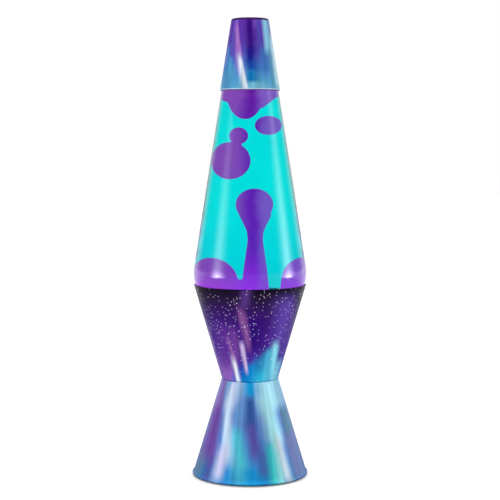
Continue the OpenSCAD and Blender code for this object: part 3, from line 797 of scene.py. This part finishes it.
def wax_pool():
    """The pool on the globe's floor with its mounds, and the column that rises from it."""
    mesh = bmesh.new()
    bore_line = bore(WAX_GAP, ABOVE_POOL)
    edge = wall_radius(sorted((z, r) for r, z in dense(bore_line, FINE_STEP)), POOL_TOP)
    pool = [p for p in bore_line if p[1] < POOL_TOP]
    add_lathe(mesh, [([(0, POOL_TOP), (edge, POOL_TOP)], 0), ([(edge, POOL_TOP)] + pool, 0)])
    for lump in POOL_LUMPS:
        add_ellipsoid(mesh, *lump)
    add_lathe(mesh, [(path(*STEM), 0)], turns=64, centre=STEM_AXIS)
    piece = melted("wax_pool_column", mesh, voxel=0.7, smoothing=10)
    place(piece, "globe", "purple_wax", "wax_pool")


def wax_top():
    """Fills the neck, reaches lower on the left than on the right, and hangs down in a lobe."""
    mesh = bmesh.new()
    add_lathe(mesh, [(path(*PLUG), 0)], turns=96, centre=PLUG_AXIS)
    for lump in TOP_LUMPS:
        add_ellipsoid(mesh, *lump)
    piece = melted("wax_top", mesh, voxel=0.6, smoothing=20)
    for v in piece.data.vertices:
        v.co.z = min(v.co.z, LIQUID_TOP * MM)
    place(piece, "globe", "purple_wax", "wax_top_mass")


def loose_wax():
    mesh = bmesh.new()
    for lump in LARGE_LUMPS:
        add_ellipsoid(mesh, *lump)
    add_lathe(mesh, [(path(*BUD_NECK), 0)], turns=48, centre=BUD_AXIS)
    piece = melted("wax_blob_with_bud", mesh, voxel=0.5, smoothing=8)
    place(piece, "blob_large", "purple_wax", "wax_blob_large")
    mesh = bmesh.new()
    add_ellipsoid(mesh, *SMALL_LUMP)
    piece = melted("wax_drop", mesh, voxel=0.5, smoothing=6)
    place(piece, "blob_small", "purple_wax", "wax_blob_small")


wax_pool()
wax_top()
loose_wax()


# ---------- the parts that the CAD model makes, with their finishes ----------

def porcelain():
    """Glazed and a little uneven, with a few dark specks in the body."""
    made, nodes, shader = material("porcelain", Coat_Weight=0.5, Coat_Roughness=0.08)
    spot = nodes.point()
    cast = nodes.noise(spot, 60.0)
    specks = nodes.ramp_value(nodes.noise(spot, 900.0, detail=1.0), 0.72, 0.78)
    glaze = nodes.mix(cast, linear(226, 220, 206), linear(242, 238, 228))
    nodes.feed(shader["Base Color"], nodes.mix(specks, glaze, linear(150, 130, 110)))
    nodes.feed(shader["Roughness"], nodes.ramp_value(cast, 0.3, 0.7, 0.18, 0.34))
    nodes.feed(shader["Normal"], nodes.bump(cast, 0.0003, 0.3))
    return made


def plastic(name, dark, light, roughness, grain=1400.0):
    """Moulded plastic or rubber with a grain, its colour clouded from dark to light."""
    made, nodes, shader = material(name)
    spot = nodes.point()
    clouds = nodes.noise(spot, 80.0, detail=4.0)
    fine = nodes.noise(spot, grain, detail=2.0)
    nodes.feed(shader["Base Color"], nodes.mix(clouds, linear(*dark), linear(*light)))
    nodes.feed(shader["Roughness"], nodes.ramp_value(fine, 0.3, 0.7, roughness - 0.08, roughness + 0.1))
    nodes.feed(shader["Normal"], nodes.bump(fine, GRAIN_DEPTH, 0.8))
    return made


def board():
    """Pressed fibre board: long fibres in two directions."""
    made, nodes, shader = material("black_board")
    spot = nodes.point()
    along = nodes.noise(nodes.scaled(spot, (120, 1400, 400)), 1.0)
    over = nodes.noise(nodes.scaled(spot, (1400, 120, 400)), 1.0)
    fibres = nodes.math("MAXIMUM", along, over)
    shade = nodes.ramp_value(fibres, 0.45, 0.75)
    nodes.feed(shader["Base Color"], nodes.mix(shade, linear(18, 18, 20), linear(52, 50, 48)))
    nodes.feed(shader["Roughness"], nodes.ramp_value(fibres, 0.4, 0.7, 0.9, 0.68))
    nodes.feed(shader["Normal"], nodes.bump(fibres, 0.00008, 0.8))
    return made


def lamp_glass(name, low, high):
    """Thin blown glass, frosted by a share that drifts from low to high."""
    made, nodes, shader = material(name, Transmission_Weight=1.0, IOR=1.46)
    drift = nodes.noise(nodes.point(), 40.0, detail=2.0)
    nodes.feed(shader["Base Color"], nodes.mix(drift, linear(244, 246, 246), (1, 1, 1, 1)))
    nodes.feed(shader["Roughness"], nodes.ramp_value(drift, 0.3, 0.7, low, high))
    return made


FINISHES = {
    "crown_steel": turned_metal("crown_steel", (206, 200, 184), 0.26, ring_scale=300.0),
    "liner": plastic("liner", (196, 196, 190), (216, 216, 210), 0.5),
    "spring_steel": turned_metal("spring_steel", (172, 170, 166), 0.3, ring_scale=60.0, scratches=0.2),
    "zinc_steel": turned_metal("zinc_steel", (190, 194, 200), 0.36, ring_scale=200.0),
    "porcelain": porcelain(),
    "brass": turned_metal("brass", (206, 172, 104), 0.28, ring_scale=900.0),
    "insulator": plastic("insulator", (20, 14, 26), (44, 30, 52), 0.16, grain=300.0),
    "solder": turned_metal("solder", (186, 188, 190), 0.4, ring_scale=120.0, scratches=0.3),
    "filament_wire": turned_metal("filament_wire", (122, 120, 124), 0.42, ring_scale=900.0, scratches=0.2),
    "black_board": board(),
    "black_rubber": plastic("black_rubber", (20, 20, 21), (38, 38, 40), 0.74),
    "grommet": plastic("grommet", (16, 16, 18), (32, 32, 36), 0.5),
    "bulb_glass": lamp_glass("bulb_glass", 0.18, 0.3),
    "stem_glass": lamp_glass("stem_glass", 0.0, 0.05),
}


def finish_carried_parts():
    """Gives each CAD node the finish of its material slot."""
    for part in frame["record"]["subparts"]:
        if part["material_slot"] in FINISHES:
            for holder in frame["nodes"][part["node"]].material_slots:
                holder.material = FINISHES[part["material_slot"]]


finish_carried_parts()


# ---------- studio ----------

# How far the floor reaches, in millimetres, its glow, and what is added where the camera sees it.
FLOOR_REACH = 6000
FLOOR_GLOW = 0.2
FLOOR_GLOW_ADDED = 0.08


def floor():
    """White, with a glow that lifts the shadows. In mirror images it is dim near the lamp and in
    front, and bright well behind."""
    mesh = bmesh.new()
    bmesh.ops.create_grid(mesh, x_segments=4, y_segments=4, size=FLOOR_REACH)
    made, nodes, shader = material("floor_white", Roughness=0.6)
    rays = nodes.add("LightPath").outputs
    mirrored = nodes.math("SUBTRACT", rays["Is Glossy Ray"], rays["Is Transmission Ray"], clamp=True)
    dim = nodes.ramp_value(nodes.axes(nodes.point())["Y"], 0.1, 0.6, 0.1, 0.8)
    plain = nodes.math("MULTIPLY_ADD", rays["Is Camera Ray"], FLOOR_GLOW_ADDED, FLOOR_GLOW)
    glow = nodes.add("Mix", {0: mirrored, 2: plain, 3: dim}).outputs[0]
    nodes.feed(shader["Base Color"], nodes.mix(mirrored, (0.86, 0.86, 0.87, 1), (0.2, 0.2, 0.21, 1)))
    nodes.feed(shader["Emission Color"], (1, 1, 1, 1))
    nodes.feed(shader["Emission Strength"], glow)
    finish_mesh("studio_floor", mesh, [made])


# A softbox's distance from the lamp's axis and its half width, in metres, and its share of light in
# rough paint.
SOFTBOX_REACH = 1.0
SOFTBOX_HALF_WIDTH = 0.2
SOFT_SHINE = 0.3


def softbox(name, azimuth, peak, centre_z, drop, tail):
    """A glowing sheet that only reflections see, at an azimuth from the front, to the right. It is
    brightest at centre_z and fades to its sides, down over drop and up over tail. In the paint's
    soft shine it is dimmer than in the glass, as with a polarising filter."""
    mesh = bmesh.new()
    low, high = centre_z - 2 * drop, centre_z + 3 * tail
    across = 2.5 * SOFTBOX_HALF_WIDTH
    mesh.faces.new([mesh.verts.new((x / MM, 0, z / MM)) for x, z in
                    ((-across, low), (across, low), (across, high), (-across, high))])
    made, nodes, _ = material(name)
    spot = nodes.axes(nodes.point())
    side = nodes.math("POWER", nodes.math("DIVIDE", spot["X"], SOFTBOX_HALF_WIDTH), 2.0)
    rise = nodes.math("SUBTRACT", spot["Z"], centre_z)
    below = nodes.math("DIVIDE", nodes.math("MINIMUM", rise, 0.0), drop)
    above = nodes.math("DIVIDE", nodes.math("MAXIMUM", rise, 0.0), tail)
    off = nodes.math("ADD", side, nodes.math("ADD", nodes.math("POWER", below, 2.0), above))
    glow = nodes.math("MULTIPLY", nodes.math("EXPONENT", nodes.math("MULTIPLY", off, -1.0)), peak)
    singular = nodes.add("LightPath").outputs["Is Singular Ray"]
    sharp = nodes.ramp_value(singular, 0, 1, SOFT_SHINE, 1.0)
    light = nodes.add("Emission", {"Strength": nodes.math("MULTIPLY", glow, sharp)})
    both = nodes.add("AddShader", {0: nodes.add("BsdfTransparent").outputs[0], 1: light.outputs[0]})
    nodes.feed(made.node_tree.nodes["Material Output"].inputs["Surface"], both.outputs[0])
    sheet = finish_mesh(name, mesh, [made])
    turn = math.radians(azimuth)
    sheet.location = (SOFTBOX_REACH * math.sin(turn), -SOFTBOX_REACH * math.cos(turn), 0)
    sheet.rotation_euler = (0, 0, turn)
    for ray in ("camera", "transmission", "shadow"):
        setattr(sheet, "visible_" + ray, False)


def top_light():
    """A large soft light above, a little to the front, aimed at the lamp's middle."""
    width, height, radiance = 1.0, 0.8, 0.8
    stand = Vector((0, -0.2, 1.3))
    target = Vector((0, 0, 0.2))
    light = bpy.data.lights.new("top_softbox", "AREA")
    light.shape = "RECTANGLE"
    light.size = width
    light.size_y = height
    light.energy = radiance * math.pi * width * height
    lamp = bpy.data.objects.new("top_softbox", light)
    lamp.location = stand
    lamp.rotation_euler = (target - stand).to_track_quat("-Z", "Y").to_euler()
    lamp.visible_transmission = False
    bpy.context.scene.collection.objects.link(lamp)


def world():
    """White behind everything, dimmer in reflections, so that glass and gloss keep their depth."""
    made = bpy.data.worlds.new("studio")
    made.use_nodes = True
    bpy.context.scene.world = made
    nodes = Nodes(made.node_tree)
    background = made.node_tree.nodes["Background"]
    rays = nodes.add("LightPath").outputs
    way = nodes.axes(nodes.add("TexCoord").outputs["Generated"])
    overhead = nodes.ramp_value(way["Z"], 0.31, 0.5)
    behind = nodes.ramp_value(way["Y"], 0.45, 0.95, 0.03, 0.75)
    horizon = nodes.ramp_value(way["Z"], 0.1, -0.02, 0.0, 0.3)
    mirrored = nodes.math("MAXIMUM", nodes.math("MAXIMUM", overhead, behind), horizon)
    seen = nodes.math("MAXIMUM", rays["Is Camera Ray"], rays["Is Transmission Ray"])
    strength = nodes.math("MAXIMUM", seen, nodes.product(mirrored, rays["Is Glossy Ray"]))
    strength = nodes.math("MAXIMUM", strength, rays["Is Diffuse Ray"])
    nodes.feed(background.inputs["Color"], (1, 1, 1, 1))
    nodes.feed(background.inputs["Strength"], strength)


# The camera's lens, in millimetres, its place, in metres, and how far down it looks, in degrees.
SENSOR_MM = 36
LENS_MM = 97.59
EYE_AT = (0, -1.091, 0.26766)
LOOK_DOWN = 4.4294


def camera():
    lens = bpy.data.cameras.new("camera")
    lens.sensor_width = SENSOR_MM
    lens.lens = LENS_MM
    eye = bpy.data.objects.new("camera", lens)
    eye.location = EYE_AT
    eye.rotation_euler = (math.radians(90 - LOOK_DOWN), 0, 0)
    bpy.context.scene.collection.objects.link(eye)
    bpy.context.scene.camera = eye


floor()
world()
softbox("left_softbox", azimuth=-68, peak=18, centre_z=0.07, drop=0.09, tail=0.17)
softbox("right_softbox", azimuth=82, peak=17, centre_z=0.07, drop=0.09, tail=0.2)
softbox("left_rim_light", azimuth=-135, peak=0.45, centre_z=0.2, drop=0.2, tail=0.3)
softbox("right_rim_light", azimuth=135, peak=0.6, centre_z=0.2, drop=0.2, tail=0.3)
top_light()
camera()
bpy.context.scene.view_settings.view_transform = "Standard"
